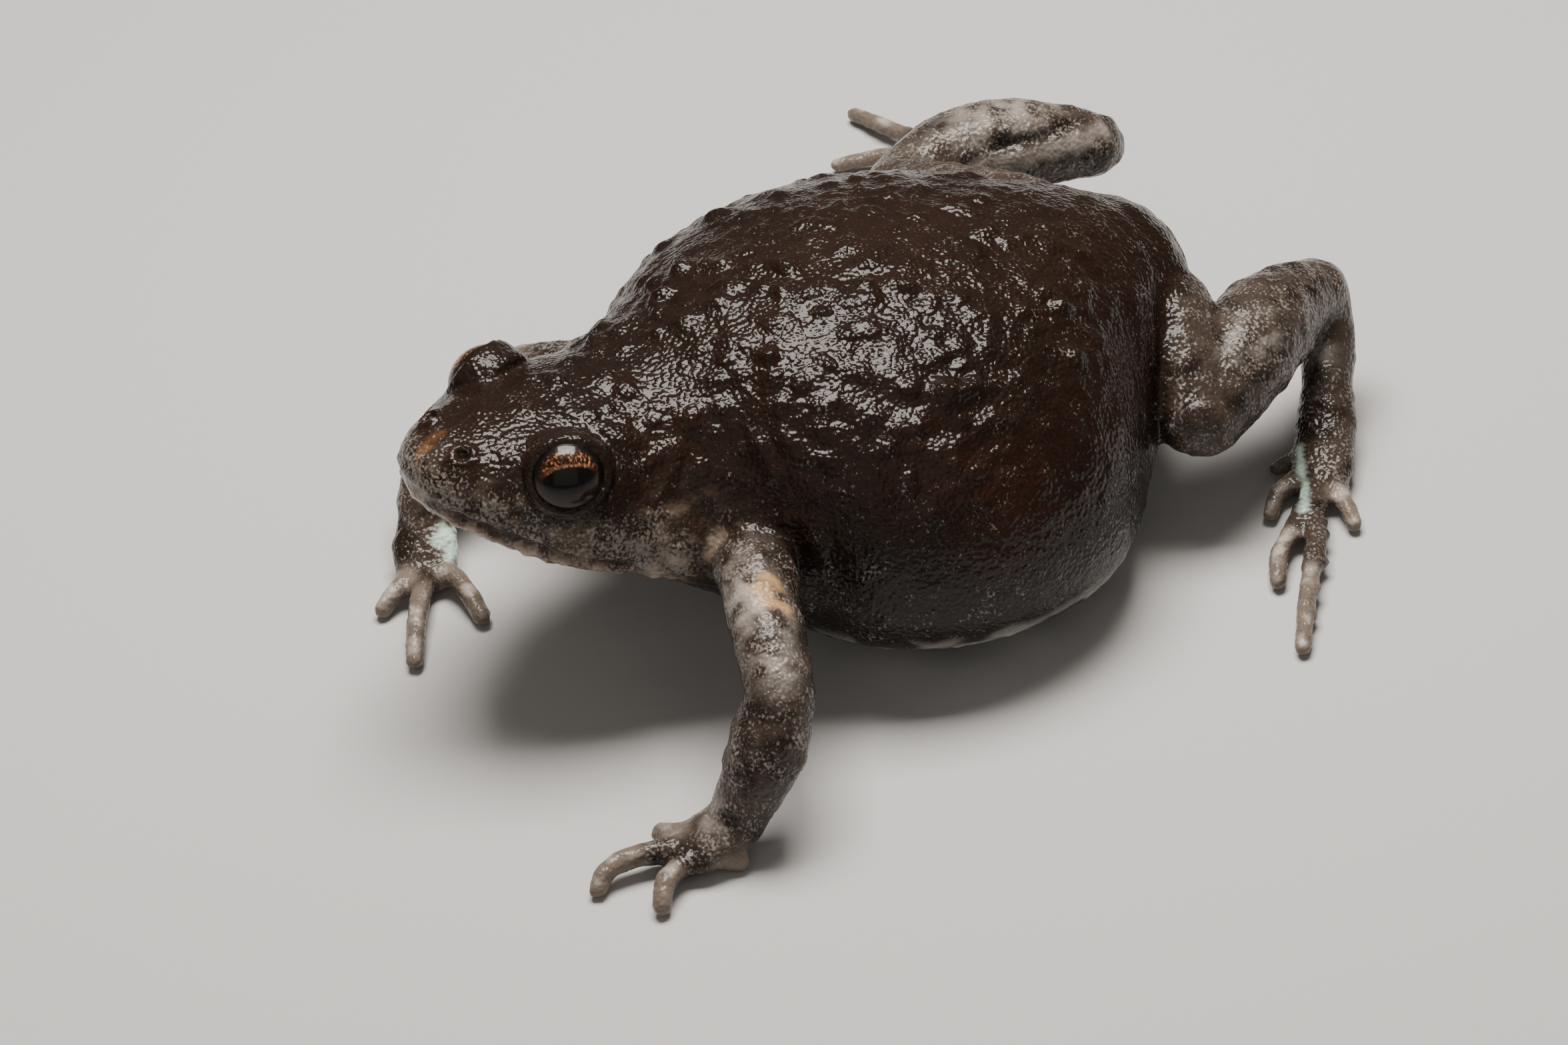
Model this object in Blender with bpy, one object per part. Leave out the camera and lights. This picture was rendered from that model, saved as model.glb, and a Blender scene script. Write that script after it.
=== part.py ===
"""A Bibron's toadlet at life size, crouched on its belly with its hands set down and its hind feet spread.

Every size and place below is in millimetres and is made metres at the very end. The animal looks along -Y,
its own left side is at +X, and the floor under its belly, hands and feet is Z = 0.
"""
import bmesh
import bpy
import numpy as np
from mathutils import Matrix

METRES_PER_MM = 0.001
GAP = 0.3                      # space between one piece and the next
FLOOR_Z = 0.0
BELLY_MIDDLE_Y = 6.0           # the model's origin is on the floor here, under the middle of the belly
SEED = 11

# Head and torso share one lofted skin: sections across the body, from the snout to the vent.
# y, top z, lowest z, half width, z of the widest line, exponent of the upper half, exponent of the lower half
SECTIONS = np.array([
    [-13.75, 10.60, 10.00, 0.30, 10.25, 2.0, 2.0],
    [-13.45, 11.10, 9.30, 1.25, 10.00, 2.2, 2.0],
    [-12.70, 11.45, 8.50, 2.25, 9.50, 2.4, 2.0],
    [-11.30, 11.65, 7.40, 3.40, 8.70, 2.4, 2.0],
    [-9.40, 11.70, 6.40, 4.75, 7.80, 2.3, 2.0],
    [-7.60, 11.65, 5.45, 5.20, 7.20, 2.1, 2.0],
    [-5.80, 11.65, 4.00, 5.55, 6.60, 2.0, 2.0],
    [-3.60, 11.95, 2.30, 6.75, 5.80, 2.0, 2.1],
    [-1.00, 12.70, 0.70, 9.35, 5.00, 2.0, 2.3],
    [2.50, 13.10, -0.30, 11.00, 4.60, 2.0, 2.4],
    [6.00, 12.95, -0.60, 11.10, 4.40, 2.0, 2.4],
    [9.50, 12.30, -0.50, 9.70, 4.50, 2.0, 2.4],
    [12.50, 11.40, 0.40, 6.50, 4.90, 2.0, 2.2],
    [15.00, 10.20, 2.60, 4.00, 5.90, 2.1, 2.0],
    [16.60, 9.10, 4.40, 2.70, 6.50, 2.0, 2.0],
    [17.30, 7.90, 5.80, 0.90, 6.80, 2.0, 2.0],
])
NECK_Y = -5.2                  # where the head is parted from the torso
HEAD_ROWS = 30
TORSO_ROWS = 30
TORSO_COLUMNS = 62

# The line of the mouth runs along the widest line of the head; angles about the head are from that line
MOUTH_CORNER_Y = -8.3
MOUTH_CORNER_FADE = 0.8
MOUTH_FRONT_FADE = 0.3
MOUTH_DEPTH = 0.28
MOUTH_ANGLES = (0.0, 0.055, 0.13, 0.24)
GROOVE_SPREAD = 0.022
LIP_RISE = 0.10
LIP_ANGLE = 0.13
LIP_SPREAD = 0.078
HEAD_COLUMNS_PER_QUARTER = 9

EYE_CENTRE = (3.24, -9.02, 10.50)
EYE_RADIUS = 1.26
EYE_AIM = (0.83, -0.30, 0.46)  # where the pupil looks, on the left side
SOCKET_GAP = 0.25
SOCKET_RADIUS = EYE_RADIUS + SOCKET_GAP
LID_RADIUS = 1.75
OPENING_START = 0.5            # how far ahead of the middle of the eye the gap between the lids begins
OPENING_END = 2.1
OPENING_HALF_WIDTHS = (1.00, 1.32)
OPENING_HALF_HEIGHTS = (0.85, 1.16)
OPENING_COLUMNS = 24

NOSTRIL = (1.35, -12.05, 11.30)
NOSTRIL_RADIUS = 0.28
NOSTRIL_RIM = 0.45
NOSTRIL_AIM = (0.45, -0.20, 0.87)
NOSTRIL_OFFSET = 0.40
NOSTRIL_ROWS, NOSTRIL_COLUMNS = 8, 12

# Low warts on the back and shoulders, as swellings of the loft
WART_COUNT = 120
WART_RADIUS = (0.65, 1.15)
WART_HEIGHT = (0.16, 0.34)
WART_Y = (-3.6, 13.0)
WART_ANGLE = (0.55, 2.60)

# Limb pieces: the points of the middle line, half the width across and half the height at each point
LEFT_LIMB = {
    "upper_arm": ([(5.4, -3.4, 6.4), (8.1, -4.5, 6.5), (10.6, -5.4, 6.0), (12.2, -5.9, 5.3)],
                  [1.55, 1.30, 1.25, 1.20], [1.55, 1.30, 1.25, 1.20]),
    "forearm": ([(12.6, -6.3, 4.9), (12.95, -7.1, 3.6), (13.0, -8.3, 1.8)],
                [1.25, 1.35, 1.10], [1.25, 1.30, 0.95]),
    "hand": ([(13.0, -8.6, 1.25), (12.9, -9.6, 0.90), (12.8, -10.5, 0.65)],
             [1.00, 1.25, 1.10], [0.85, 0.70, 0.50]),
    "thigh": ([(0.5, 13.5, 7.0), (2.3, 15.0, 6.8), (4.8, 14.7, 5.9), (6.5, 14.1, 5.0)],
              [2.0, 2.0, 1.70, 1.40], [2.0, 2.0, 1.70, 1.40]),
    "shank": ([(6.7, 14.6, 4.8), (5.5, 16.3, 5.2), (3.9, 18.6, 5.4), (2.8, 20.5, 5.1), (2.2, 21.9, 4.7)],
              [1.35, 1.75, 1.90, 1.55, 1.25], [1.35, 1.75, 1.90, 1.55, 1.25]),
    "tarsus": ([(2.1, 22.3, 4.2), (3.2, 21.8, 3.1), (4.3, 21.1, 2.2)],
               [1.10, 1.00, 0.95], [1.10, 1.00, 0.95]),
    "foot": ([(4.7, 20.8, 1.8), (6.1, 19.8, 1.1), (7.4, 18.8, 0.80)],
             [0.95, 1.15, 1.15], [0.90, 0.80, 0.60]),
}
RIGHT_LIMB = {
    "upper_arm": ([(-5.4, -3.4, 6.4), (-7.6, -4.4, 6.1), (-9.4, -5.6, 5.3), (-9.9, -6.6, 4.7)],
                  [1.55, 1.30, 1.25, 1.20], [1.55, 1.30, 1.25, 1.20]),
    "forearm": ([(-10.1, -7.3, 4.2), (-9.8, -8.6, 3.2), (-8.7, -10.1, 2.0)],
                [1.25, 1.35, 1.10], [1.25, 1.30, 0.95]),
    "hand": ([(-8.4, -10.4, 1.35), (-7.3, -10.9, 0.95), (-6.5, -11.3, 0.65)],
             [1.00, 1.25, 1.10], [0.85, 0.70, 0.50]),
    "thigh": ([(-1.6, 13.5, 7.0), (-5.0, 13.6, 6.6), (-9.2, 12.4, 5.8), (-11.6, 12.0, 5.3)],
              [2.3, 2.2, 1.85, 1.50], [2.3, 2.2, 1.85, 1.50]),
    "shank": ([(-12.4, 12.7, 5.1), (-12.6, 14.8, 5.3), (-12.1, 17.0, 5.3), (-11.5, 18.9, 5.0),
               (-11.1, 20.1, 4.7)],
              [1.45, 1.75, 1.80, 1.50, 1.25], [1.45, 1.75, 1.80, 1.50, 1.25]),
    "tarsus": ([(-11.2, 20.5, 4.4), (-13.0, 20.1, 3.3), (-14.4, 19.6, 2.4)],
               [1.10, 1.00, 0.95], [1.10, 1.00, 0.95]),
    "foot": ([(-15.0, 19.4, 2.0), (-16.8, 18.8, 1.2), (-18.0, 18.3, 0.80)],
             [0.95, 1.15, 1.15], [0.90, 0.80, 0.60]),
}

# Fingers and toes, numbered from the inner side of the hand and foot
LEFT_DIGITS = {
    "finger_1": [(12.2, -9.9, 0.75), (11.7, -10.3, 0.74), (11.1, -10.6, 0.44)],
    "finger_2": [(12.5, -10.4, 0.75), (12.05, -12.4, 0.79), (12.15, -13.3, 0.64), (12.4, -13.7, 0.36)],
    "finger_3": [(13.1, -10.4, 0.75), (13.8, -11.7, 0.79), (14.3, -12.15, 0.59), (14.5, -12.3, 0.39)],
    "finger_4": [(13.1, -9.7, 0.55), (13.65, -9.4, 0.49), (14.0, -8.95, 0.40)],
    "toe_1": [(6.3, 19.2, 0.65), (5.9, 18.4, 0.59), (5.75, 17.9, 0.44)],
    "toe_2": [(7.0, 18.7, 0.70), (7.25, 17.1, 0.64), (7.9, 16.3, 0.39)],
    "toe_3": [(7.6, 18.5, 0.70), (9.3, 16.5, 0.69), (10.4, 15.1, 0.64), (11.4, 14.4, 0.39)],
    "toe_4": [(7.8, 18.4, 0.75), (10.8, 16.4, 0.69), (13.2, 14.5, 0.59), (15.1, 13.15, 0.38)],
    "toe_5": [(6.9, 19.3, 0.75), (8.35, 18.95, 0.69), (9.35, 18.65, 0.59), (10.15, 18.45, 0.39)],
}
RIGHT_DIGITS = {
    "finger_1": [(-6.9, -10.7, 0.75), (-5.0, -10.5, 0.74), (-3.4, -10.55, 0.39)],
    "finger_2": [(-6.7, -11.2, 0.75), (-4.3, -12.7, 0.79), (-2.5, -13.7, 0.39)],
    "finger_3": [(-6.9, -11.4, 0.70), (-6.2, -12.7, 0.69), (-5.9, -13.4, 0.39)],
    "finger_4": [(-7.9, -10.7, 0.55), (-8.5, -10.3, 0.49), (-8.9, -9.8, 0.39)],
    "toe_1": [(-17.0, 18.6, 0.65), (-16.8, 17.2, 0.59), (-16.7, 16.5, 0.44)],
    "toe_2": [(-17.6, 18.3, 0.70), (-18.2, 16.5, 0.64), (-18.3, 15.3, 0.39)],
    "toe_3": [(-18.0, 18.1, 0.70), (-20.2, 16.2, 0.69), (-21.4, 14.1, 0.39)],
    "toe_4": [(-18.1, 18.3, 0.75), (-21.5, 17.1, 0.69), (-24.2, 16.4, 0.39)],
    "toe_5": [(-17.8, 18.7, 0.70), (-19.8, 19.5, 0.64), (-21.2, 19.7, 0.39)],
}
DIGIT_RADII = {"finger": (0.44, 0.38), "toe": (0.43, 0.35)}   # at the root and at the tip
LIMB_ROWS, LIMB_COLUMNS = 9, 12
DIGIT_ROWS, DIGIT_COLUMNS = 7, 8
CAP_ROWS = 3                   # rings in each round end
CAP_REACH = 0.94               # share of the round end where its last ring lies

# What each limb piece is cut clear of: the piece it grows from and what it lies against
CLEAR_OF = {
    "upper_arm": ("torso",),
    "forearm": ("upper_arm",),
    "hand": ("forearm",),
    "thigh": ("torso",),
    "shank": ("thigh", "torso"),
    "tarsus": ("shank",),
    "foot": ("tarsus",),
}

SKIN_COLOURS = {"head": (0.045, 0.030, 0.022), "torso": (0.035, 0.024, 0.018), "limb": (0.10, 0.085, 0.075),
                "digit": (0.34, 0.26, 0.21), "eye": (0.05, 0.022, 0.008)}
SKIN_ROUGHNESS = 0.32
EYE_ROUGHNESS = 0.06
CREASE_ANGLE = np.radians(40)


def clear_scene():
    for thing in list(bpy.data.objects):
        bpy.data.objects.remove(thing, do_unlink=True)


def curve(knots, values, at):
    """Cubic through the values at the knots; the slope at a knot is the weighted mean of those beside it."""
    knots = np.asarray(knots, float)
    values = np.asarray(values, float)
    step = np.diff(knots)
    slope = np.diff(values, axis=0) / step[:, None]
    tangent = np.empty_like(values)
    tangent[0], tangent[-1] = slope[0], slope[-1]
    share = (step[1:] / (step[:-1] + step[1:]))[:, None]
    tangent[1:-1] = slope[:-1] * share + slope[1:] * (1 - share)
    at = np.clip(at, knots[0], knots[-1])
    i = np.clip(np.searchsorted(knots, at, side="right") - 1, 0, len(knots) - 2)
    t = ((at - knots[i]) / step[i])[:, None]
    h = step[i][:, None]
    return ((1 + 2 * t) * (1 - t) ** 2 * values[i] + t * (1 - t) ** 2 * h * tangent[i]
            + t * t * (3 - 2 * t) * values[i + 1] + t * t * (t - 1) * h * tangent[i + 1])


def section_grid(rows_y, angles, grow=0.0):
    """Rings across the body at rows_y. A ring is two half superellipses that meet on the widest line."""
    stations = curve(SECTIONS[:, 0], SECTIONS[:, 1:], rows_y)
    top, low, half, wide, upper_power, lower_power = stations.T[:, :, None]
    angles = np.asarray(angles)[None, :]
    cosine, sine = np.cos(angles), np.sin(angles)
    above = sine >= 0
    power = np.where(above, upper_power, lower_power)
    reach = (np.abs(cosine) ** power + np.abs(sine) ** power) ** (-1 / power)
    tall = np.where(above, top - wide, wide - low) + grow
    x = (half + grow) * reach * cosine
    z = wide + tall * reach * sine
    y = np.broadcast_to(rows_y[:, None], x.shape)
    return np.stack([x, y, z], -1)


def closed_mesh(grid):
    """Points and faces of a stack of rings, each end filled by a fan round its middle."""
    rows, columns = grid.shape[:2]
    points = np.concatenate([grid.reshape(-1, 3), grid[0].mean(0)[None], grid[-1].mean(0)[None]])
    row, column = np.meshgrid(np.arange(rows - 1), np.arange(columns), indexing="ij")
    a = row * columns + column
    b = row * columns + (column + 1) % columns
    around = np.stack([a, b, b + columns, a + columns], -1).reshape(-1, 4)
    edge = np.arange(columns)
    after = (edge + 1) % columns
    first, last = rows * columns, (rows - 1) * columns
    front = np.stack([np.full(columns, first), after, edge], -1)
    back = np.stack([np.full(columns, first + 1), last + edge, last + after], -1)
    return points, around.tolist() + front.tolist() + back.tolist()


def tube(points, across, upright, rows, columns, grow=0.0):
    """Oval rings along a curve through the points, with both ends round, grown outwards all over by grow."""
    points = np.asarray(points, float)
    knots = np.concatenate([[0], np.cumsum(np.sqrt(np.linalg.norm(np.diff(points, axis=0), axis=1)))])
    at = np.linspace(0, knots[-1], rows)
    path = curve(knots, points, at)
    half = curve(knots, np.stack([across, upright], 1), at) + grow
    along = np.gradient(path, axis=0)
    along /= np.linalg.norm(along, axis=1, keepdims=True)
    turn = np.linspace(0, np.pi / 2, CAP_ROWS + 1)[1:]
    turn[-1] *= CAP_REACH
    start = path[0] - along[0] * half[0].mean() * np.sin(turn[::-1])[:, None]
    end = path[-1] + along[-1] * half[-1].mean() * np.sin(turn)[:, None]
    path = np.concatenate([start, path, end])
    half = np.concatenate([half[0] * np.cos(turn[::-1])[:, None], half, half[-1] * np.cos(turn)[:, None]])
    along = np.concatenate([np.repeat(along[:1], CAP_ROWS, 0), along, np.repeat(along[-1:], CAP_ROWS, 0)])
    side = np.cross(along, (0, 0, 1))
    side /= np.linalg.norm(side, axis=1, keepdims=True)
    up = np.cross(side, along)
    angle = np.linspace(0, 2 * np.pi, columns, endpoint=False)
    return (path[:, None] + side[:, None] * (half[:, :1] * np.cos(angle))[..., None]
            + up[:, None] * (half[:, 1:] * np.sin(angle))[..., None])


def ball(centre, radius, aim, rows=12, columns=20):
    """A sphere whose poles lie on the line of aim."""
    pole = np.asarray(aim, float) / np.linalg.norm(aim)
    side = np.cross(pole, (0, 0, 1))
    side /= np.linalg.norm(side)
    up = np.cross(side, pole)
    lat = np.linspace(np.pi / rows, np.pi - np.pi / rows, rows - 1)[:, None]
    lon = np.linspace(0, 2 * np.pi, columns, endpoint=False)[None, :]
    ring = np.sin(lat)[..., None] * (np.cos(lon)[..., None] * side + np.sin(lon)[..., None] * up)
    return np.asarray(centre) + radius * (ring - np.cos(lat)[..., None] * pole)


def mesh_object(name, grid):
    """A closed object from a stack of rings, its faces turned outwards."""
    points, faces = closed_mesh(grid)
    mesh = bpy.data.meshes.new(name)
    mesh.from_pydata(points.tolist(), [], faces)
    form = bmesh.new()
    form.from_mesh(mesh)
    bmesh.ops.recalc_face_normals(form, faces=form.faces)
    form.to_mesh(mesh)
    form.free()
    thing = bpy.data.objects.new(name, mesh)
    bpy.context.scene.collection.objects.link(thing)
    return thing


def combine(thing, others, operation):
    """One Boolean of the thing with all the others, applied; the others are removed."""
    group = bpy.data.collections.new("others")
    bpy.context.scene.collection.children.link(group)
    for other in others:
        bpy.context.scene.collection.objects.unlink(other)
        group.objects.link(other)
    step = thing.modifiers.new(operation, "BOOLEAN")
    step.operation = operation
    step.solver = "EXACT"
    step.operand_type = "COLLECTION"
    step.collection = group
    result = bpy.data.meshes.new_from_object(thing.evaluated_get(bpy.context.evaluated_depsgraph_get()))
    thing.modifiers.clear()
    thing.data = result
    for other in others:
        bpy.data.objects.remove(other, do_unlink=True)
    bpy.data.collections.remove(group)


def keep_largest(thing):
    """Only the largest closed surface of the mesh stays."""
    form = bmesh.new()
    form.from_mesh(thing.data)
    form.faces.ensure_lookup_table()
    left, islands = set(form.faces), []
    while left:
        island, edge = set(), [left.pop()]
        while edge:
            face = edge.pop()
            island.add(face)
            for side in face.edges:
                for near in side.link_faces:
                    if near in left:
                        left.remove(near)
                        edge.append(near)
        islands.append(island)
    islands.sort(key=lambda island: sum(face.calc_area() for face in island))
    dropped = [face for island in islands[:-1] for face in island]
    bmesh.ops.delete(form, geom=dropped, context="FACES")
    form.to_mesh(thing.data)
    form.free()


def finish(thing, kind):
    """The model's origin, metres, smooth shading with crisp edges at the cuts, and its own material."""
    thing.data.transform(Matrix.Scale(METRES_PER_MM, 4) @ Matrix.Translation((0, -BELLY_MIDDLE_Y, 0)))
    thing.data.shade_smooth()
    thing.data.set_sharp_from_angle(angle=CREASE_ANGLE)
    skin = bpy.data.materials.new(thing.name + "_skin")
    skin.use_nodes = True
    shader = skin.node_tree.nodes["Principled BSDF"]
    shader.inputs["Base Color"].default_value = (*SKIN_COLOURS[kind], 1.0)
    shader.inputs["Roughness"].default_value = EYE_ROUGHNESS if kind == "eye" else SKIN_ROUGHNESS
    shader.inputs["Metallic"].default_value = 0.0
    thing.data.materials.clear()
    thing.data.materials.append(skin)


def mirrored(vector, side):
    return np.asarray(vector, float) * (side, 1, 1)


def head_angles():
    """Angles round the head, close together on both sides of the line of the mouth."""
    near = np.array(MOUTH_ANGLES)
    rest = np.linspace(MOUTH_ANGLES[-1], np.pi / 2, HEAD_COLUMNS_PER_QUARTER)[1:]
    quarter = np.concatenate([near, rest])
    half = np.concatenate([quarter, np.pi - quarter[-2::-1]])
    return np.concatenate([half, 2 * np.pi - half[-2:0:-1]])


def head_rows():
    """Stations along the head, closer together round the tip of the snout."""
    share = np.linspace(0, 1, HEAD_ROWS) ** 1.5
    return SECTIONS[0, 0] + (NECK_Y - GAP / 2 - SECTIONS[0, 0]) * share


def make_head():
    """The head with a groove for the mouth between two lips, lids round each eye, and the nostrils."""
    rows, angles = head_rows(), head_angles()
    grid = section_grid(rows, angles)
    middle = grid.mean(axis=1, keepdims=True)
    outward = grid - middle
    outward /= np.linalg.norm(outward, axis=2, keepdims=True)
    off_line = np.arcsin(np.minimum(np.abs(np.sin(angles)), 1))[None, :]
    behind_tip = np.clip((rows - SECTIONS[0, 0]) / MOUTH_FRONT_FADE, 0, 1)[:, None]
    before_corner = np.clip((MOUTH_CORNER_Y - rows) / MOUTH_CORNER_FADE, 0, 1)[:, None]
    groove = MOUTH_DEPTH * np.exp(-(off_line / GROOVE_SPREAD) ** 2)
    lips = LIP_RISE * np.exp(-((off_line - LIP_ANGLE) / LIP_SPREAD) ** 2)
    grid = grid + outward * (behind_tip * before_corner * (lips - groove))[..., None]
    head = mesh_object("head", grid)
    lids, holes = [], []
    for side in (1, -1):
        eye, aim = mirrored(EYE_CENTRE, side), mirrored(EYE_AIM, side)
        lids.append(mesh_object("lid", ball(eye, LID_RADIUS, aim)))
        holes.append(mesh_object("socket", ball(eye, SOCKET_RADIUS, aim)))
        nostril, outer = mirrored(NOSTRIL, side), mirrored(NOSTRIL_AIM, side)
        lids.append(mesh_object("rim", ball(nostril, NOSTRIL_RIM, outer, NOSTRIL_ROWS, NOSTRIL_COLUMNS)))
        pit = ball(nostril + outer * NOSTRIL_OFFSET, NOSTRIL_RADIUS, outer, NOSTRIL_ROWS, NOSTRIL_COLUMNS)
        holes.append(mesh_object("nostril", pit))
        aim = aim / np.linalg.norm(aim)
        path = [eye + aim * OPENING_START, eye + aim * OPENING_END]
        opening = tube(path, OPENING_HALF_WIDTHS, OPENING_HALF_HEIGHTS, 3, OPENING_COLUMNS)
        holes.append(mesh_object("opening", opening))
    combine(head, lids, "UNION")
    combine(head, holes, "DIFFERENCE")
    keep_largest(head)
    return head


def make_torso(warts):
    """The trunk from neck to vent, flat where the belly lies on the floor, low warts on the back."""
    rows = np.linspace(NECK_Y + GAP / 2, SECTIONS[-1, 0], TORSO_ROWS)
    angles = np.linspace(0, 2 * np.pi, TORSO_COLUMNS, endpoint=False)
    grid = section_grid(rows, angles)
    normal = np.cross(np.gradient(grid, axis=0), np.gradient(grid, axis=1))
    normal /= np.linalg.norm(normal, axis=2, keepdims=True)
    for centre, radius, height in warts:
        far = np.linalg.norm(grid - centre, axis=2) / radius
        grid = grid + normal * (height * np.exp(-(far ** 2)))[..., None]
    grid[..., 2] = np.maximum(grid[..., 2], FLOOR_Z)
    return mesh_object("torso", grid)


def draw_warts():
    """Places, radii and heights of the warts, drawn at random over the upper side of the trunk."""
    draw = np.random.default_rng(SEED)
    warts = []
    for _ in range(WART_COUNT):
        y = draw.uniform(*WART_Y)
        angle = draw.uniform(*WART_ANGLE)
        centre = section_grid(np.array([y]), [angle])[0, 0]
        warts.append((centre, draw.uniform(*WART_RADIUS), draw.uniform(*WART_HEIGHT)))
    return warts


def torso_room():
    """The trunk grown by the gap, which limbs are cut clear of."""
    rows = np.linspace(NECK_Y - GAP, SECTIONS[-1, 0], TORSO_ROWS)
    angles = np.linspace(0, 2 * np.pi, TORSO_COLUMNS, endpoint=False)
    return mesh_object("room", section_grid(rows, angles, GAP))


def make_limb(side_name, limbs, digits):
    """One side's limb pieces and digits, each cut clear of what it grows from."""

    def room(name):
        if name == "torso":
            return torso_room()
        points, across, upright = limbs[name]
        return mesh_object("room", tube(points, across, upright, LIMB_ROWS, LIMB_COLUMNS, GAP))

    def settle(name, grid, rooms, kind):
        grid[..., 2] = np.maximum(grid[..., 2], FLOOR_Z)
        piece = mesh_object(name + "_" + side_name, grid)
        combine(piece, rooms, "DIFFERENCE")
        keep_largest(piece)
        finish(piece, kind)

    for name, (points, across, upright) in limbs.items():
        grid = tube(points, across, upright, LIMB_ROWS, LIMB_COLUMNS)
        settle(name, grid, [room(other) for other in CLEAR_OF[name]], "limb")
    previous = None
    for name, points in digits.items():
        kind = name.split("_")[0]
        radius = np.linspace(*DIGIT_RADII[kind], len(points))
        root = "hand" if kind == "finger" else "foot"
        rooms = [room(root)]
        if previous and previous[0] == root:
            rooms.append(mesh_object("room", tube(*previous[1], DIGIT_ROWS, DIGIT_COLUMNS, GAP)))
        settle(name, tube(points, radius, radius, DIGIT_ROWS, DIGIT_COLUMNS), rooms, "digit")
        previous = (root, (points, radius, radius))


def make_eyes():
    for side, side_name in ((1, "left"), (-1, "right")):
        grid = ball(mirrored(EYE_CENTRE, side), EYE_RADIUS, mirrored(EYE_AIM, side))
        finish(mesh_object("eye_" + side_name, grid), "eye")


def main():
    clear_scene()
    finish(make_head(), "head")
    finish(make_torso(draw_warts()), "torso")
    make_eyes()
    make_limb("left", LEFT_LIMB, LEFT_DIGITS)
    make_limb("right", RIGHT_LIMB, RIGHT_DIGITS)


main()
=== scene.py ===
"""A Bibron's toadlet at life size, crouched on its belly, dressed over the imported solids."""

import bmesh
import bpy
import numpy as np
from mathutils import Matrix, Vector


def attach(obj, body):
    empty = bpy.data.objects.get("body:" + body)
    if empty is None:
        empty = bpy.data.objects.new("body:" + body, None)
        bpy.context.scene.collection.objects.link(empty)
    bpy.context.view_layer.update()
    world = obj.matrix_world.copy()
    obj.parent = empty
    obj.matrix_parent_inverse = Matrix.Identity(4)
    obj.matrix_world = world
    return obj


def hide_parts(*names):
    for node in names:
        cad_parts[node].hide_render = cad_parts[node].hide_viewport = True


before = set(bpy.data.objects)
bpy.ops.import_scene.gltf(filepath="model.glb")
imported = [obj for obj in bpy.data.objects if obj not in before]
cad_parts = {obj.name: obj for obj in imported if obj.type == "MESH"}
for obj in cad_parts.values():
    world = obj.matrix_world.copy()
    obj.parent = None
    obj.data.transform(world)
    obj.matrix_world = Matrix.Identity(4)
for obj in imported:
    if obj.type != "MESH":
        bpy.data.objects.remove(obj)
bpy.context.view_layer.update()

# Camera. The animal is looked down on from ahead and its left, in the photograph's own framing, and the
# whole picture is tipped a few degrees so that the hands sit lower than the feet.
IMAGE_WIDTH, IMAGE_HEIGHT = 2352, 1568
METRES_PER_MM = 0.001
BELLY_MIDDLE_Y = 6.0           # mm from the middle of the shoulders back to the model's origin
VIEW_AZIMUTH, VIEW_ELEVATION, PICTURE_TIP = np.radians((62.0, 35.0, 6.0))
TIP_PIVOT_Y = 15.0             # mm
VIEW_DISTANCE = 210.0          # mm
PIXELS_PER_MM = 41.0
AIM_OFFSET_PIXELS = (9.0, 20.0)
SENSOR_WIDTH = 36.0


def tipped(vector):
    """The vector turned about X by the picture's tip."""
    c, s = np.cos(PICTURE_TIP), np.sin(PICTURE_TIP)
    x, y, z = vector
    return np.array([x, y * c + z * s, z * c - y * s])


level_back = np.array([np.sin(VIEW_AZIMUTH) * np.cos(VIEW_ELEVATION),
                       -np.cos(VIEW_AZIMUTH) * np.cos(VIEW_ELEVATION), np.sin(VIEW_ELEVATION)])
level_right = np.array([np.cos(VIEW_AZIMUTH), np.sin(VIEW_AZIMUTH), 0.0])
level_up = np.cross(level_back, level_right)
level_aim = (level_right * AIM_OFFSET_PIXELS[0] + level_up * AIM_OFFSET_PIXELS[1]) / PIXELS_PER_MM
pivot = np.array([0.0, TIP_PIVOT_Y, 0.0])
view_back, view_right, view_up = tipped(level_back), tipped(level_right), tipped(level_up)
aim = tipped(level_aim - pivot) + pivot - (0.0, BELLY_MIDDLE_Y, 0.0)
lens = bpy.data.cameras.new("photo_lens")
lens.sensor_width = SENSOR_WIDTH
lens.lens = SENSOR_WIDTH * PIXELS_PER_MM * VIEW_DISTANCE / IMAGE_WIDTH
lens.clip_start = 0.01
camera = bpy.data.objects.new("photo_camera", lens)
bpy.context.scene.collection.objects.link(camera)
camera.matrix_world = (Matrix.Translation(Vector((aim + view_back * VIEW_DISTANCE) * METRES_PER_MM))
                       @ Matrix(np.stack([view_right, view_up, view_back], 1).tolist()).to_4x4())
bpy.context.scene.camera = camera

# Floor and studio lights. A pale matt floor, one broad soft light over the animal and a little beyond it for
# the wet sheen, a much weaker one behind the camera and a faint surround.
FLOOR_SPAN = 0.6               # m
FLOOR_COLOUR = (0.54, 0.545, 0.55, 1.0)
FLOOR_ROUGHNESS = 0.85
SURROUND_COLOUR = (1.0, 0.93, 0.86, 1.0)
SURROUND_STRENGTH = 0.15


def area_light(name, place_mm, target_mm, width_mm, height_mm, power, colour):
    """A rectangular light at a place in millimetres that looks at a target."""
    light = bpy.data.lights.new(name, "AREA")
    light.shape = "RECTANGLE"
    light.size, light.size_y = width_mm * METRES_PER_MM, height_mm * METRES_PER_MM
    light.energy = power
    light.color = colour
    thing = bpy.data.objects.new(name, light)
    bpy.context.scene.collection.objects.link(thing)
    place = Vector(place_mm) * METRES_PER_MM
    thing.location = place
    thing.rotation_euler = (Vector(target_mm) * METRES_PER_MM - place).to_track_quat("-Z", "Y").to_euler()


def new_material(name):
    """A material with a Principled shader, returned with its nodes and links."""
    material = bpy.data.materials.new(name)
    material.use_nodes = True
    tree = material.node_tree
    return material, tree.nodes, tree.links, tree.nodes["Principled BSDF"]


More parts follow.
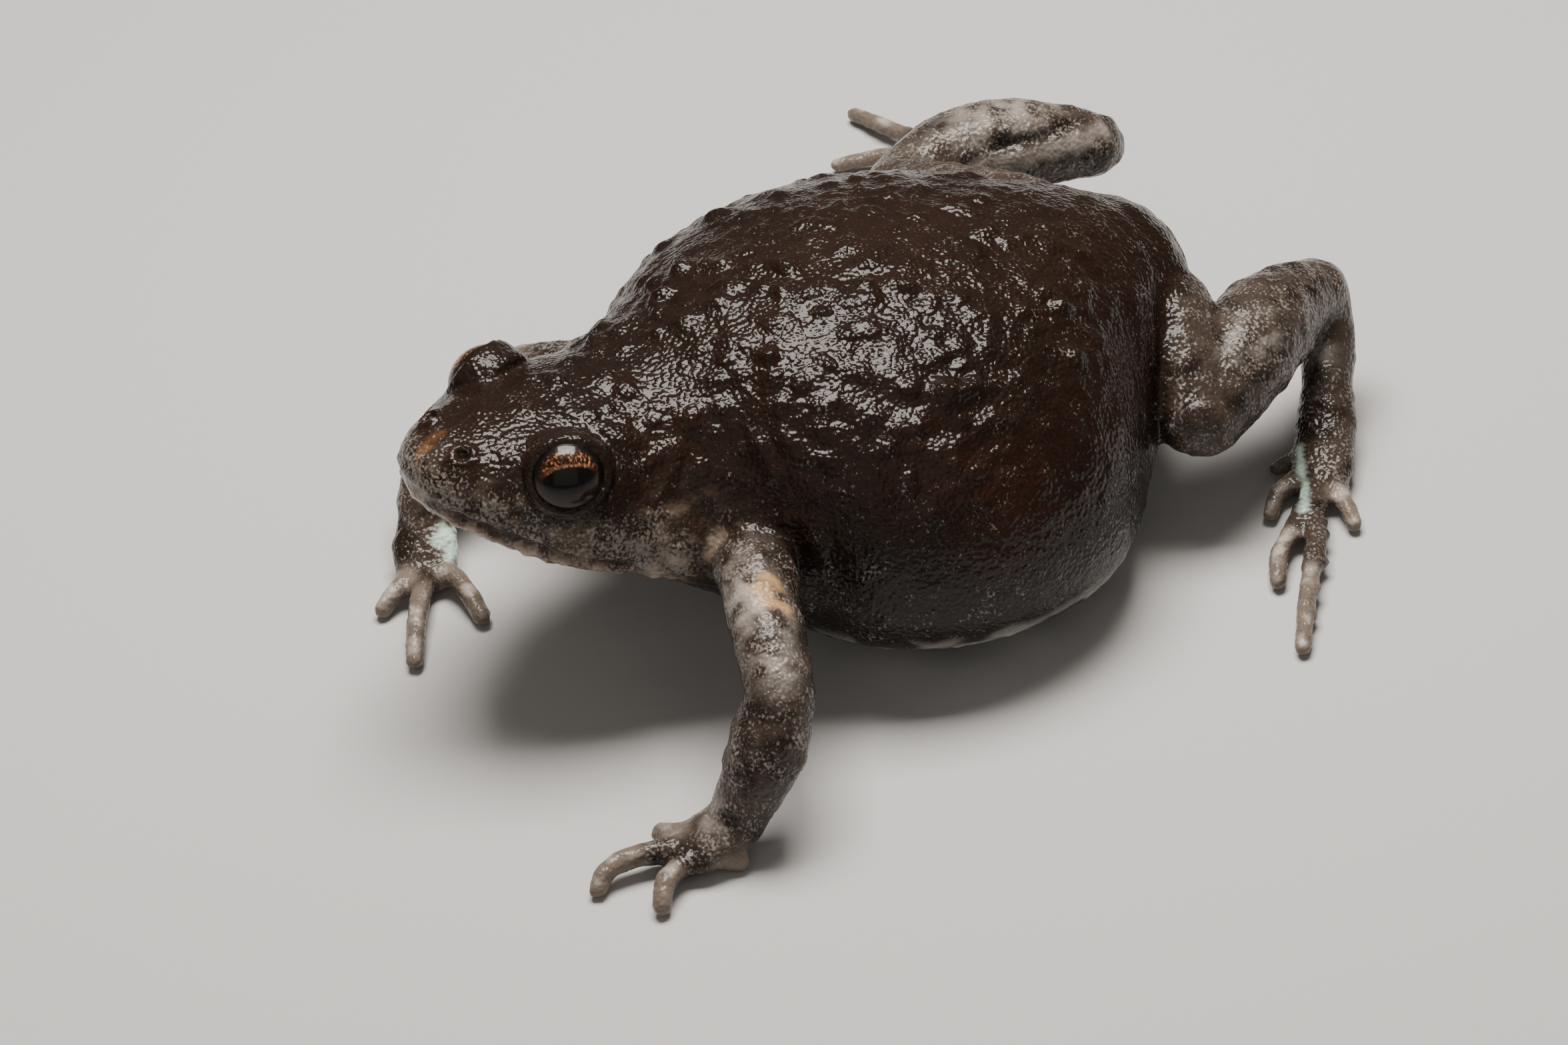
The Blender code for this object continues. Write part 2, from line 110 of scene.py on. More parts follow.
floor_mesh = bpy.data.meshes.new("floor")
half = FLOOR_SPAN / 2
corners = [(-half, -half, 0), (half, -half, 0), (half, half, 0), (-half, half, 0)]
floor_mesh.from_pydata(corners, [], [(0, 1, 2, 3)])
floor = bpy.data.objects.new("floor", floor_mesh)
bpy.context.scene.collection.objects.link(floor)
floor_material, _, _, floor_shader = new_material("pale_floor")
floor_shader.inputs["Base Color"].default_value = FLOOR_COLOUR
floor_shader.inputs["Roughness"].default_value = FLOOR_ROUGHNESS
floor_mesh.materials.append(floor_material)
area_light("key", (-26, 12, 150), (0, 0, 6), 98, 70, 0.50, (1.0, 0.93, 0.86))
area_light("fill", (150, -90, 110), (0, -4, 5), 240, 180, 0.05, (1.0, 0.92, 0.84))
world = bpy.data.worlds.new("surround")
world.use_nodes = True
world.node_tree.nodes["Background"].inputs["Color"].default_value = SURROUND_COLOUR
world.node_tree.nodes["Background"].inputs["Strength"].default_value = SURROUND_STRENGTH
bpy.context.scene.world = world

# Trunk and head. One loft of wet, loose skin over the skull, the broad belly and the rump, given by
# sections across the animal. All the flesh is first made as overlapping closed forms in millimetres.
# y, top z, lowest z, half width, z of the widest line, exponent of the upper half, exponent of the lower half
SECTIONS = np.array([
    [-13.75, 10.60, 10.00, 0.30, 10.25, 2.0, 2.0],
    [-13.45, 11.10, 9.30, 1.25, 10.00, 2.2, 2.0],
    [-12.70, 11.45, 8.50, 2.25, 9.50, 2.4, 2.0],
    [-11.30, 11.65, 7.40, 3.40, 8.70, 2.4, 2.0],
    [-9.40, 11.70, 6.40, 4.75, 7.80, 2.3, 2.0],
    [-7.60, 11.65, 5.45, 5.20, 7.20, 2.1, 2.0],
    [-5.80, 11.65, 4.00, 5.55, 6.60, 2.0, 2.0],
    [-3.60, 11.95, 2.30, 6.75, 5.80, 2.0, 2.1],
    [-1.00, 12.70, 0.70, 9.35, 5.00, 2.0, 2.3],
    [2.50, 13.10, -0.30, 11.00, 4.60, 2.0, 2.4],
    [6.00, 12.95, -0.60, 11.10, 4.40, 2.0, 2.4],
    [9.50, 12.30, -0.50, 9.70, 4.50, 2.0, 2.4],
    [12.50, 11.40, 0.40, 6.50, 4.90, 2.0, 2.2],
    [15.00, 10.20, 2.60, 4.00, 5.90, 2.1, 2.0],
    [16.60, 9.10, 4.40, 2.70, 6.50, 2.0, 2.0],
    [17.30, 7.90, 5.80, 0.90, 6.80, 2.0, 2.0],
])
LOFT_ROWS, LOFT_COLUMNS = 110, 120
FIRST_ROW_SHARE = 0.02         # of the trunk's length, from the tip of the snout to the next ring


def curve(knots, values, at):
    """Cubic through the values at the knots; the slope at a knot is the weighted mean of those beside it."""
    knots = np.asarray(knots, float)
    values = np.asarray(values, float)
    step = np.diff(knots)
    slope = np.diff(values, axis=0) / step[:, None]
    tangent = np.empty_like(values)
    tangent[0], tangent[-1] = slope[0], slope[-1]
    share = (step[1:] / (step[:-1] + step[1:]))[:, None]
    tangent[1:-1] = slope[:-1] * share + slope[1:] * (1 - share)
    at = np.clip(at, knots[0], knots[-1])
    i = np.clip(np.searchsorted(knots, at, side="right") - 1, 0, len(knots) - 2)
    t = ((at - knots[i]) / step[i])[:, None]
    h = step[i][:, None]
    return ((1 + 2 * t) * (1 - t) ** 2 * values[i] + t * (1 - t) ** 2 * h * tangent[i]
            + t * t * (3 - 2 * t) * values[i + 1] + t * t * (t - 1) * h * tangent[i + 1])


def section_grid(rows_y, angles):
    """Rings across the body at rows_y: |x/half|^p + |z/height|^p = 1, with one height above the widest
    line and one below it."""
    top, low, wide_x, wide_z, upper, lower = curve(SECTIONS[:, 0], SECTIONS[:, 1:], rows_y).T[:, :, None]
    cosine, sine = np.cos(angles)[None, :], np.sin(angles)[None, :]
    power = np.where(sine >= 0, upper, lower)
    reach = (np.abs(cosine) ** power + np.abs(sine) ** power) ** (-1 / power)
    z = wide_z + np.where(sine >= 0, top - wide_z, wide_z - low) * reach * sine
    x = wide_x * reach * cosine
    return np.stack([x, np.broadcast_to(rows_y[:, None], x.shape), z], -1)


def closed_mesh(grid):
    """Points and triangles of a stack of rings whose two ends are fans round their middles."""
    rows, columns = grid.shape[:2]
    points = np.concatenate([grid.reshape(-1, 3), grid[0].mean(0)[None], grid[-1].mean(0)[None]])
    row, column = np.meshgrid(np.arange(rows - 1), np.arange(columns), indexing="ij")
    a = row * columns + column
    b = row * columns + (column + 1) % columns
    quads = np.stack([a, b, b + columns, a + columns], -1).reshape(-1, 4)
    edge = np.arange(columns)
    after = (edge + 1) % columns
    middle, last = rows * columns, (rows - 1) * columns
    front = np.stack([np.full(columns, middle), after, edge], -1)
    back = np.stack([np.full(columns, middle + 1), last + edge, last + after], -1)
    return points, np.concatenate([quads[:, [0, 1, 2]], quads[:, [0, 2, 3]], front, back])


row_share = np.concatenate([[0], np.linspace(FIRST_ROW_SHARE, 1, LOFT_ROWS) ** 1.3])
loft_rows = SECTIONS[0, 0] + (SECTIONS[-1, 0] - SECTIONS[0, 0]) * row_share
loft_angles = np.linspace(0, 2 * np.pi, LOFT_COLUMNS, endpoint=False)
flesh = [closed_mesh(section_grid(loft_rows, loft_angles))]

# Limbs and digits. Soft tubes of skin over muscle: a middle line, and half the width across and half the
# height at each of its points. They sink into one another and into the trunk.
LIMBS = [
    ([(5.4, -3.4, 6.4), (8.1, -4.5, 6.5), (10.6, -5.4, 6.0), (12.2, -5.9, 5.3)],
     [1.55, 1.30, 1.25, 1.20], [1.55, 1.30, 1.25, 1.20]),
    ([(12.4, -6.1, 5.1), (12.95, -7.1, 3.6), (13.0, -8.3, 1.8)], [1.20, 1.35, 1.10], [1.20, 1.30, 0.95]),
    ([(13.0, -8.4, 1.4), (12.9, -9.6, 0.90), (12.8, -10.5, 0.65)], [1.00, 1.25, 1.10], [0.85, 0.70, 0.50]),
    ([(0.5, 13.5, 7.0), (2.3, 15.0, 6.8), (4.8, 14.7, 5.9), (6.5, 14.1, 5.0)],
     [2.0, 2.0, 1.70, 1.40], [2.0, 2.0, 1.70, 1.40]),
    ([(6.7, 14.4, 4.8), (5.5, 16.3, 5.2), (3.9, 18.6, 5.4), (2.8, 20.5, 5.1), (2.2, 21.9, 4.7)],
     [1.35, 1.75, 1.90, 1.55, 1.25], [1.35, 1.75, 1.90, 1.55, 1.25]),
    ([(2.1, 22.2, 4.4), (3.2, 21.8, 3.1), (4.5, 20.95, 2.0)], [1.10, 1.00, 0.95], [1.10, 1.00, 0.95]),
    ([(4.5, 20.95, 2.0), (6.1, 19.8, 1.1), (7.4, 18.8, 0.80)], [0.95, 1.15, 1.15], [0.90, 0.80, 0.60]),
    ([(-5.4, -3.4, 6.4), (-7.6, -4.4, 6.1), (-9.4, -5.6, 5.3), (-9.9, -6.6, 4.7)],
     [1.55, 1.30, 1.25, 1.20], [1.55, 1.30, 1.25, 1.20]),
    ([(-10.0, -7.0, 4.4), (-9.8, -8.6, 3.2), (-8.7, -10.1, 2.0)], [1.20, 1.35, 1.10], [1.20, 1.30, 0.95]),
    ([(-8.5, -10.3, 1.6), (-7.3, -10.9, 0.95), (-6.5, -11.3, 0.65)], [1.00, 1.25, 1.10], [0.85, 0.70, 0.50]),
    ([(-1.6, 13.5, 7.0), (-5.0, 13.6, 6.6), (-9.2, 12.4, 5.8), (-11.6, 12.0, 5.3)],
     [2.3, 2.2, 1.85, 1.50], [2.3, 2.2, 1.85, 1.50]),
    ([(-12.2, 12.4, 5.1), (-12.6, 14.8, 5.3), (-12.1, 17.0, 5.3), (-11.5, 18.9, 5.0), (-11.1, 20.1, 4.7)],
     [1.45, 1.75, 1.80, 1.50, 1.25], [1.45, 1.75, 1.80, 1.50, 1.25]),
    ([(-11.2, 20.4, 4.5), (-13.0, 20.1, 3.3), (-14.7, 19.5, 2.2)], [1.10, 1.00, 0.95], [1.10, 1.00, 0.95]),
    ([(-14.7, 19.5, 2.2), (-16.8, 18.8, 1.2), (-18.0, 18.3, 0.80)], [0.95, 1.15, 1.15], [0.90, 0.80, 0.60]),
]
DIGITS = [
    [(12.2, -9.9, 0.75), (11.7, -10.3, 0.74), (11.1, -10.6, 0.44)],
    [(12.5, -10.4, 0.75), (12.05, -12.4, 0.79), (12.15, -13.3, 0.64), (12.4, -13.7, 0.36)],
    [(13.1, -10.4, 0.75), (13.8, -11.7, 0.79), (14.3, -12.15, 0.59), (14.5, -12.3, 0.39)],
    [(13.1, -9.7, 0.55), (13.65, -9.4, 0.49), (14.0, -8.95, 0.40)],
    [(6.3, 19.2, 0.65), (5.9, 18.4, 0.59), (5.75, 17.9, 0.44)],
    [(7.0, 18.7, 0.70), (7.25, 17.1, 0.64), (7.9, 16.3, 0.39)],
    [(7.6, 18.5, 0.70), (9.3, 16.5, 0.69), (10.4, 15.1, 0.64), (11.4, 14.4, 0.39)],
    [(7.8, 18.4, 0.75), (10.8, 16.4, 0.69), (13.2, 14.5, 0.59), (15.1, 13.15, 0.38)],
    [(6.9, 19.3, 0.75), (8.35, 18.95, 0.69), (9.35, 18.65, 0.59), (10.15, 18.45, 0.39)],
    [(-6.9, -10.7, 0.75), (-5.0, -10.5, 0.74), (-3.4, -10.55, 0.39)],
    [(-6.7, -11.2, 0.75), (-4.3, -12.7, 0.79), (-2.5, -13.7, 0.39)],
    [(-6.9, -11.4, 0.70), (-6.2, -12.7, 0.69), (-5.9, -13.4, 0.39)],
    [(-7.9, -10.7, 0.55), (-8.5, -10.3, 0.49), (-8.9, -9.8, 0.39)],
    [(-17.0, 18.6, 0.65), (-16.8, 17.2, 0.59), (-16.7, 16.5, 0.44)],
    [(-17.6, 18.3, 0.70), (-18.2, 16.5, 0.64), (-18.3, 15.3, 0.39)],
    [(-18.0, 18.1, 0.70), (-20.2, 16.2, 0.69), (-21.4, 14.1, 0.39)],
    [(-18.1, 18.3, 0.75), (-21.5, 17.1, 0.69), (-24.2, 16.4, 0.39)],
    [(-17.8, 18.7, 0.70), (-19.8, 19.5, 0.64), (-21.2, 19.7, 0.39)],
]
FINGER_RADII, TOE_RADII = (0.42, 0.35), (0.41, 0.32)   # at the root and at the tip
FINGERS = (0, 1, 2, 3, 9, 10, 11, 12)                  # their numbers among the digits
LIMB_ROWS, LIMB_COLUMNS = 40, 40
DIGIT_ROWS, DIGIT_COLUMNS = 30, 24
CAP_ROWS = 6                   # rings in each round end
CAP_REACH = 0.97               # share of the round end where its last ring lies
JOINTS = ((0.36, 0.09), (0.70, 0.08))                  # place and length along a digit, as shares
JOINT_SWELLING, TIP_SWELLING, TIP_LENGTH = 0.09, 0.08, 0.12
SHAFT_WIDTH = 0.96


def tube(points, across, upright, rows, columns):
    """Oval rings square to a cubic through the points, with both ends closed by quarter circles."""
    points = np.asarray(points, float)
    knots = np.concatenate([[0], np.cumsum(np.sqrt(np.linalg.norm(np.diff(points, axis=0), axis=1)))])
    at = np.linspace(0, knots[-1], rows)
    path = curve(knots, points, at)
    half = curve(knots, np.stack([across, upright], 1), at)
    along = np.gradient(path, axis=0)
    along /= np.linalg.norm(along, axis=1, keepdims=True)
    turn = np.linspace(0, CAP_REACH * np.pi / 2, CAP_ROWS + 1)[1:]
    start = path[0] - along[0] * half[0].mean() * np.sin(turn[::-1])[:, None]
    end = path[-1] + along[-1] * half[-1].mean() * np.sin(turn)[:, None]
    path = np.concatenate([start, path, end])
    half = np.concatenate([half[0] * np.cos(turn[::-1])[:, None], half, half[-1] * np.cos(turn)[:, None]])
    along = np.concatenate([np.repeat(along[:1], CAP_ROWS, 0), along, np.repeat(along[-1:], CAP_ROWS, 0)])
    side = np.cross(along, (0, 0, 1))
    side /= np.linalg.norm(side, axis=1, keepdims=True)
    up = np.cross(side, along)
    angle = np.linspace(0, 2 * np.pi, columns, endpoint=False)
    return (path[:, None] + side[:, None] * (half[:, :1] * np.cos(angle))[..., None]
            + up[:, None] * (half[:, 1:] * np.sin(angle))[..., None])


def digit_radii(root, tip):
    """Radii along a digit: a taper swollen a little at two joints and at the tip."""
    at = np.linspace(0, 1, 13)
    swelling = sum(JOINT_SWELLING * np.exp(-((at - place) / length) ** 2) for place, length in JOINTS)
    swelling = swelling + TIP_SWELLING * np.exp(-((at - 1.0) / TIP_LENGTH) ** 2)
    return (root + (tip - root) * at) * (SHAFT_WIDTH + swelling)


for points, across, upright in LIMBS:
    flesh.append(closed_mesh(tube(points, across, upright, LIMB_ROWS, LIMB_COLUMNS)))
for number, points in enumerate(DIGITS):
    radius = digit_radii(*(FINGER_RADII if number in FINGERS else TOE_RADII))
    line = curve(np.linspace(0, 1, len(points)), points, np.linspace(0, 1, len(radius)))
    flesh.append(closed_mesh(tube(line, radius, radius, DIGIT_ROWS, DIGIT_COLUMNS)))

# Skin. The forms above are fused into one closed sheet by a voxel remesh, smoothed so that the limbs run
# into the trunk, and cut off level where the belly and the feet rest. Everything finer is pushed out of
# or into this one sheet along its normals.
VOXEL = 0.182   # mm
BLEND_STEPS, BLEND_SHARE = 6, 0.5
REST_Z = 0.0


def join_forms(name, forms):
    """One mesh object that holds all the closed forms, not yet fused."""
    offset, points, faces = 0, [], []
    for form_points, form_faces in forms:
        points.append(form_points)
        faces.append(form_faces + offset)
        offset += len(form_points)
    points, faces = np.concatenate(points), np.concatenate(faces)
    mesh = bpy.data.meshes.new(name)
    mesh.from_pydata(points.tolist(), [], faces.tolist())
    thing = bpy.data.objects.new(name, mesh)
    bpy.context.scene.collection.objects.link(thing)
    form = bmesh.new()
    form.from_mesh(mesh)
    bmesh.ops.recalc_face_normals(form, faces=form.faces)
    form.to_mesh(mesh)
    form.free()
    return thing


def apply_modifiers(thing):
    """The mesh as its modifiers leave it takes the place of the mesh under them."""
    depsgraph = bpy.context.evaluated_depsgraph_get()
    result = bpy.data.meshes.new_from_object(thing.evaluated_get(depsgraph))
    thing.modifiers.clear()
    thing.data = result


def read_points(mesh):
    flat = np.empty(len(mesh.vertices) * 3)
    mesh.vertices.foreach_get("co", flat)
    return flat.reshape(-1, 3)


def read_normals(mesh):
    flat = np.empty(len(mesh.vertices) * 3)
    mesh.vertices.foreach_get("normal", flat)
    return flat.reshape(-1, 3)


def write_points(mesh, points):
    mesh.vertices.foreach_set("co", points.ravel())
    mesh.update()


skin = join_forms("toadlet_skin", flesh)
remesh = skin.modifiers.new("fuse", "REMESH")
remesh.mode = "VOXEL"
remesh.voxel_size = VOXEL
soften = skin.modifiers.new("blend", "SMOOTH")
soften.factor = BLEND_SHARE
soften.iterations = BLEND_STEPS
apply_modifiers(skin)

# Lids, nostrils, mouth and folds. The eyeballs stand out of the skull under thin dark lids, the nostrils are
# small pits in low rims, the mouth is a fine closed groove that ends under the eye, and the loose skin
# creases at the neck, behind the arms and before the thighs.
EYE_CENTRE = np.array([3.14, -8.98, 10.44])
EYE_AIM = np.array([0.83, -0.30, 0.46])
EYE_RADIUS = 1.48
LID_THICKNESS = 0.15
LID_HALF_WIDTH, LID_HALF_HEIGHT = 0.855, 0.77  # of the gap between the lids, in eye radii
LID_GAP_RISE = 0.03                            # how far over the middle of the eye the gap lies, in eye radii
LID_RIM = (0.03, 1.08, 0.07)                   # height, place and width; the gap's edge is at place 1
LID_CREASE = (0.04, 1.22, 0.07)                # depth, place and width
LID_SOFTNESS = (0.05, 0.26)                    # of the bend into the skull, near the gap and away from it
LID_OUTER = (1.04, 1.30)                       # places between which the lid turns into the skull
GAP_EDGE = (1.04, 0.90)                        # places between which the skin drops behind the eyeball
SOCKET_DEPTH = 0.35
SOCKET_REACH = 1.1                             # how far off the eyeball the skin is still shaped
NOSTRIL = np.array([1.35, -12.05, 11.52])
NOSTRIL_PIT = (0.42, 0.22)                     # depth and radius
NOSTRIL_RIM = (0.12, 0.38, 0.15)               # height, distance from the middle and width
# y and z of the closed lips, from the corner of the mouth to the tip of the snout
LIPS = np.array([[-7.6, 7.15], [-8.7, 7.45], [-10.1, 8.1], [-11.5, 8.85], [-12.8, 9.6], [-13.45, 10.0],
                 [-13.7, 10.15]])
MOUTH_GROOVE = (0.22, 0.15)                    # depth and half width
LIP_ROLL = (0.07, 0.32, 0.16)                  # height, distance from the groove and width
FINE_REGIONS = ((EYE_CENTRE, 2.2), (NOSTRIL, 0.8))
# The middle line of each fold of loose skin on one side, its depth and its width
FOLDS = [
    ([(2.9, -5.9, 11.3), (3.3, -4.2, 11.6), (3.7, -2.4, 11.8)], 0.20, 0.30),
    ([(5.3, -6.8, 8.6), (5.9, -5.9, 7.6), (6.2, -5.6, 6.2)], 0.22, 0.28),
    ([(7.4, -2.9, 8.6), (8.1, -2.7, 7.2), (8.2, -2.9, 5.4)], 0.26, 0.30),
    ([(3.9, 13.9, 9.9), (5.2, 13.6, 8.6), (6.3, 12.9, 7.2)], 0.24, 0.30),
]
SHANK_FOLD = [(-11.1, 14.6, 6.45), (-10.65, 16.9, 6.35), (-10.6, 18.4, 6.3), (-10.9, 19.9, 6.25)]
SHANK_FOLD_DEPTH, SHANK_FOLD_WIDTH = 0.22, 0.26


def smoothstep(low, high, value):
    """0 under low, 1 over high, and 3t^2 - 2t^3 between."""
    t = np.clip((value - low) / (high - low), 0, 1)
    return t * t * (3 - 2 * t)


def bell(distance, width):
    """1 at no distance, falling as exp(-(distance / width)^2)."""
    return np.exp(-(distance / width) ** 2)


def eye_frame(side):
    """Aim, level and upright directions of one eye; side is 1 for the left and -1 for the right."""
    out = EYE_AIM * (side, 1, 1) / np.linalg.norm(EYE_AIM)
    level = np.cross((0, 0, 1), out)
    level /= np.linalg.norm(level)
    return out, level, np.cross(out, level)


def refine(thing, centres, radius_mm):
    """Every edge near the centres is halved and its faces are split in four."""
    form = bmesh.new()
    form.from_mesh(thing.data)
    points = read_points(thing.data)
    near = np.zeros(len(points), bool)
    for centre, radius in zip(centres, radius_mm):
        near |= np.linalg.norm(points - centre, axis=1) < radius
    form.verts.ensure_lookup_table()
    edges = [edge for edge in form.edges if near[edge.verts[0].index] and near[edge.verts[1].index]]
    bmesh.ops.subdivide_edges(form, edges=edges, cuts=1, use_grid_fill=True)
    bmesh.ops.triangulate(form, faces=[face for face in form.faces if len(face.verts) > 4])
    form.to_mesh(thing.data)
    form.free()
    thing.data.update()


def shape_eye(points, side):
    """Skin round one eye. Outside an oval gap it is the softened maximum of the skull and a sphere a lid's
    thickness over the eyeball; inside the gap it drops behind the eyeball."""
    centre = EYE_CENTRE * (side, 1, 1)
    out, level, upright = eye_frame(side)
    offset = points - centre
    reach = np.linalg.norm(offset, axis=1)
    unit = offset / np.maximum(reach, 1e-6)[:, None]
    across, high, ahead = unit @ level, unit @ upright - LID_GAP_RISE, unit @ out
    oval = np.sqrt((across / LID_HALF_WIDTH) ** 2 + (high / LID_HALF_HEIGHT) ** 2)
    oval = np.where(ahead > 0, oval, 3.0)
    height, place, width = LID_RIM
    lid = EYE_RADIUS + LID_THICKNESS + height * bell(oval - place, width)
    softness = LID_SOFTNESS[0] + (LID_SOFTNESS[1] - LID_SOFTNESS[0]) * smoothstep(*LID_OUTER, oval)
    rise = np.log1p(np.exp((lid - reach) / softness)) * softness
    depth, place, width = LID_CREASE
    crease = depth * bell(oval - place, width) * smoothstep(0.0, 0.5, high)
    wanted = reach + rise * smoothstep(-0.6, -0.1, ahead) - crease
    inside = smoothstep(*GAP_EDGE, oval)
    wanted = wanted * (1 - inside) + (EYE_RADIUS - SOCKET_DEPTH) * inside
    moved = centre + unit * wanted[:, None]
    return np.where((reach < EYE_RADIUS + SOCKET_REACH)[:, None], moved, points)


def distance_to_line(points, line):
    """Distance from each point to a polyline given by close points, and the share along it of the nearest."""
    best = np.full(len(points), 1e9)
    share = np.zeros(len(points))
    for k, knot in enumerate(line):
        far = np.linalg.norm(points - knot, axis=1)
        share = np.where(far < best, k / (len(line) - 1), share)
        best = np.minimum(best, far)
    return best, share


def dense(line, count):
    """Close points along a cubic through a few."""
    return curve(np.linspace(0, 1, len(line)), line, np.linspace(0, 1, count))


fine_centres = [centre * (side, 1, 1) for centre, _ in FINE_REGIONS for side in (1, -1)]
fine_radii = [radius for _, radius in FINE_REGIONS for side in (1, -1)]
refine(skin, fine_centres, fine_radii)
points = read_points(skin.data)
for side in (1, -1):
    points = shape_eye(points, side)
write_points(skin.data, points)
normals = read_normals(skin.data)
features = np.zeros(len(points))
x, y, z = points.T
lip_z = np.interp(-y, -LIPS[:, 0], LIPS[:, 1])
mouth_distance = 0.9 * np.abs(z - lip_z)
mouth_fade = smoothstep(7.4, 8.4, -y) * (1 - 0.55 * smoothstep(12.6, 13.5, -y))
height, off, width = LIP_ROLL
features += mouth_fade * height * bell(mouth_distance - off, width)
depth, width = MOUTH_GROOVE
features -= mouth_fade * depth * bell(mouth_distance, width)
for side in (1, -1):
    far = np.linalg.norm(points - NOSTRIL * (side, 1, 1), axis=1)
    height, off, width = NOSTRIL_RIM
    features += height * bell(far - off, width)
    depth, width = NOSTRIL_PIT
    features -= depth * bell(far, width)
    for line, depth, width in FOLDS:
        far, share = distance_to_line(points, dense(line, 24) * (side, 1, 1))
        fade = smoothstep(0.0, 0.2, share) * smoothstep(1.0, 0.8, share)
        features += fade * depth * (0.5 * bell(far - 2.2 * width, width) - bell(far, width))
shank_distance, share = distance_to_line(points, dense(SHANK_FOLD, 60))
fade = smoothstep(0.0, 0.15, share) * smoothstep(1.0, 0.85, share)
features -= SHANK_FOLD_DEPTH * fade * bell(shank_distance, SHANK_FOLD_WIDTH)

# Warts. Low rounded warts with smaller ones and short ridges between them crowd the back and shoulders and
# fade to fine grains on the head, flanks and rump; the limbs are wrinkled, and the long toes bear tubercles.
TUBERCLES = [(10.5, 17.2, 0.65), (11.75, 16.3, 0.60), (12.9, 15.35, 0.60), (14.0, 14.5, 0.50),
             (8.9, 19.7, 0.70)]
TUBERCLE_HEIGHT, TUBERCLE_WIDTH = 0.20, 0.26
BARE_FINGER_FROM, BARE_TOE_FROM = 5, 8         # which of a digit's 16 places its bare end begins at
WARTS = [(-0.1, 1.7, 13.1), (-0.5, -0.2, 12.8), (0.0, -1.2, 12.6), (-0.3, -2.5, 12.2), (1.7, 1.7, 12.9),
         (4.0, 2.7, 12.4), (1.5, 4.1, 13.0), (-6.3, 1.7, 11.6), (-6.2, 1.9, 11.7)]
WART_HEIGHT, WART_WIDTH = 0.20, 0.42
# Mounds strewn over the skin: spacing, width and the share of places that stay empty
BIG_MOUNDS, MID_MOUNDS, GRAINS = (1.35, 0.50, 0.30), (0.80, 0.33, 0.15), (0.46, 0.19, 0.0)
# Where each part of the body begins and is fully reached, as heights z, places y or the trunk's measure
LIMB_FROM, HEAD_FROM, RUMP_FROM = (1.03, 1.22), (-5.2, -7.6), (8.0, 13.0)
BACK_FROM, BELLY_FROM, FLANK_FROM = (6.5, 10.3), (3.4, 1.6), (8.2, 4.8)
THROAT_SIDE, THROAT_REACH = (5.7, -6.0, 7.2), (1.3, 1.5, 1.3)


def lattice_random(cell, salt):
    """A random number from 0 to 1 for each whole-numbered cell, from a fixed mixing of its three numbers."""
    n = cell[..., 0] * 73856093 ^ cell[..., 1] * 19349663 ^ cell[..., 2] * 83492791 ^ (salt * 2654435761)
    n = (n ^ (n >> 13)) * 1274126177 & 0x7FFFFFFF
    n = (n ^ (n >> 16)) * 668265263 & 0x7FFFFFFF
    return (n >> 7 & 0xFFFF) / 65535.0


def noise(points, size, salt=0):
    """Smooth noise from -1 to 1: random corner values of a cubic lattice, eased from corner to corner."""
    place = points / size
    cell = np.floor(place).astype(np.int64)
    t = place - cell
    t = t * t * (3 - 2 * t)
    total = np.zeros(len(points))
    for corner in np.ndindex(2, 2, 2):
        weight = np.prod(np.where(corner, t, 1 - t), axis=1)
        total += weight * lattice_random(cell + corner, salt)
    return total * 2 - 1


def mounds(points, size, width, rarity, salt):
    """Sum of round mounds exp(-(distance / width)^3), one about a random point of each lattice cell; cells
    whose random number is under the rarity have none, and the others differ in height and width."""
    cell = np.floor(points / size).astype(np.int64)
    total = np.zeros(len(points))
    for step in np.ndindex(3, 3, 3):
        near = cell + (np.array(step) - 1)
        middle = (near + np.stack([lattice_random(near, salt + k) for k in (1, 2, 3)], -1)) * size
        far = np.linalg.norm(points - middle, axis=1)
        size_share = smoothstep(rarity, 1.0, lattice_random(near, salt + 4))
        total += size_share * np.exp(-(far / (width * (0.65 + 0.5 * size_share))) ** 3)
    return total


def trunk_measure(points):
    """1 on the trunk's own loft, less inside it and more outside, as on the limbs."""
    top, low, wide_x, wide_z, upper, lower = curve(SECTIONS[:, 0], SECTIONS[:, 1:], points[:, 1]).T
    above = points[:, 2] >= wide_z
    power = np.where(above, upper, lower)
    tall = np.where(above, top - wide_z, wide_z - low)
    sum_of_powers = (np.abs(points[:, 0]) / wide_x) ** power + (np.abs(points[:, 2] - wide_z) / tall) ** power
    return np.where(points[:, 1] > SECTIONS[-1, 0] - 0.4, 2.0, sum_of_powers ** (1 / power))


def nearness(points, place, reach):
    """1 at a place, falling as exp(-d^2) with the distance d measured in the reach along each axis."""
    return bell(np.linalg.norm((points - place) / reach, axis=1), 1.0)


x, y, z = points.T
both_sides = np.stack([np.abs(x), y, z], 1)    # the points of the right side laid over the left
on_limb = smoothstep(*LIMB_FROM, trunk_measure(points))
on_limb *= np.clip(smoothstep(-8.5, -6.0, y) + smoothstep(7.5, 6.0, z), 0, 1)
on_trunk = 1 - on_limb
on_head = smoothstep(*HEAD_FROM, y) * on_trunk
on_rump = smoothstep(*RUMP_FROM, y) * on_trunk
on_back = smoothstep(*BACK_FROM, z) * on_trunk * (1 - on_head)
on_jaw = smoothstep(lip_z + 0.35, lip_z - 0.45, z) * on_head
on_cheek = smoothstep(lip_z + 2.8, lip_z + 0.5, z) * on_head * (1 - on_jaw)
throat_side = nearness(both_sides, THROAT_SIDE, THROAT_REACH)
on_belly = smoothstep(*BELLY_FROM, z) * on_trunk * (1 - on_head)
drift = 0.40 * noise(points, 1.2, 7)[:, None] * normals + 0.3 * noise(points, 0.9, 8)[:, None] * (1, 0, 0)
big = mounds(points + drift, *BIG_MOUNDS, 20)
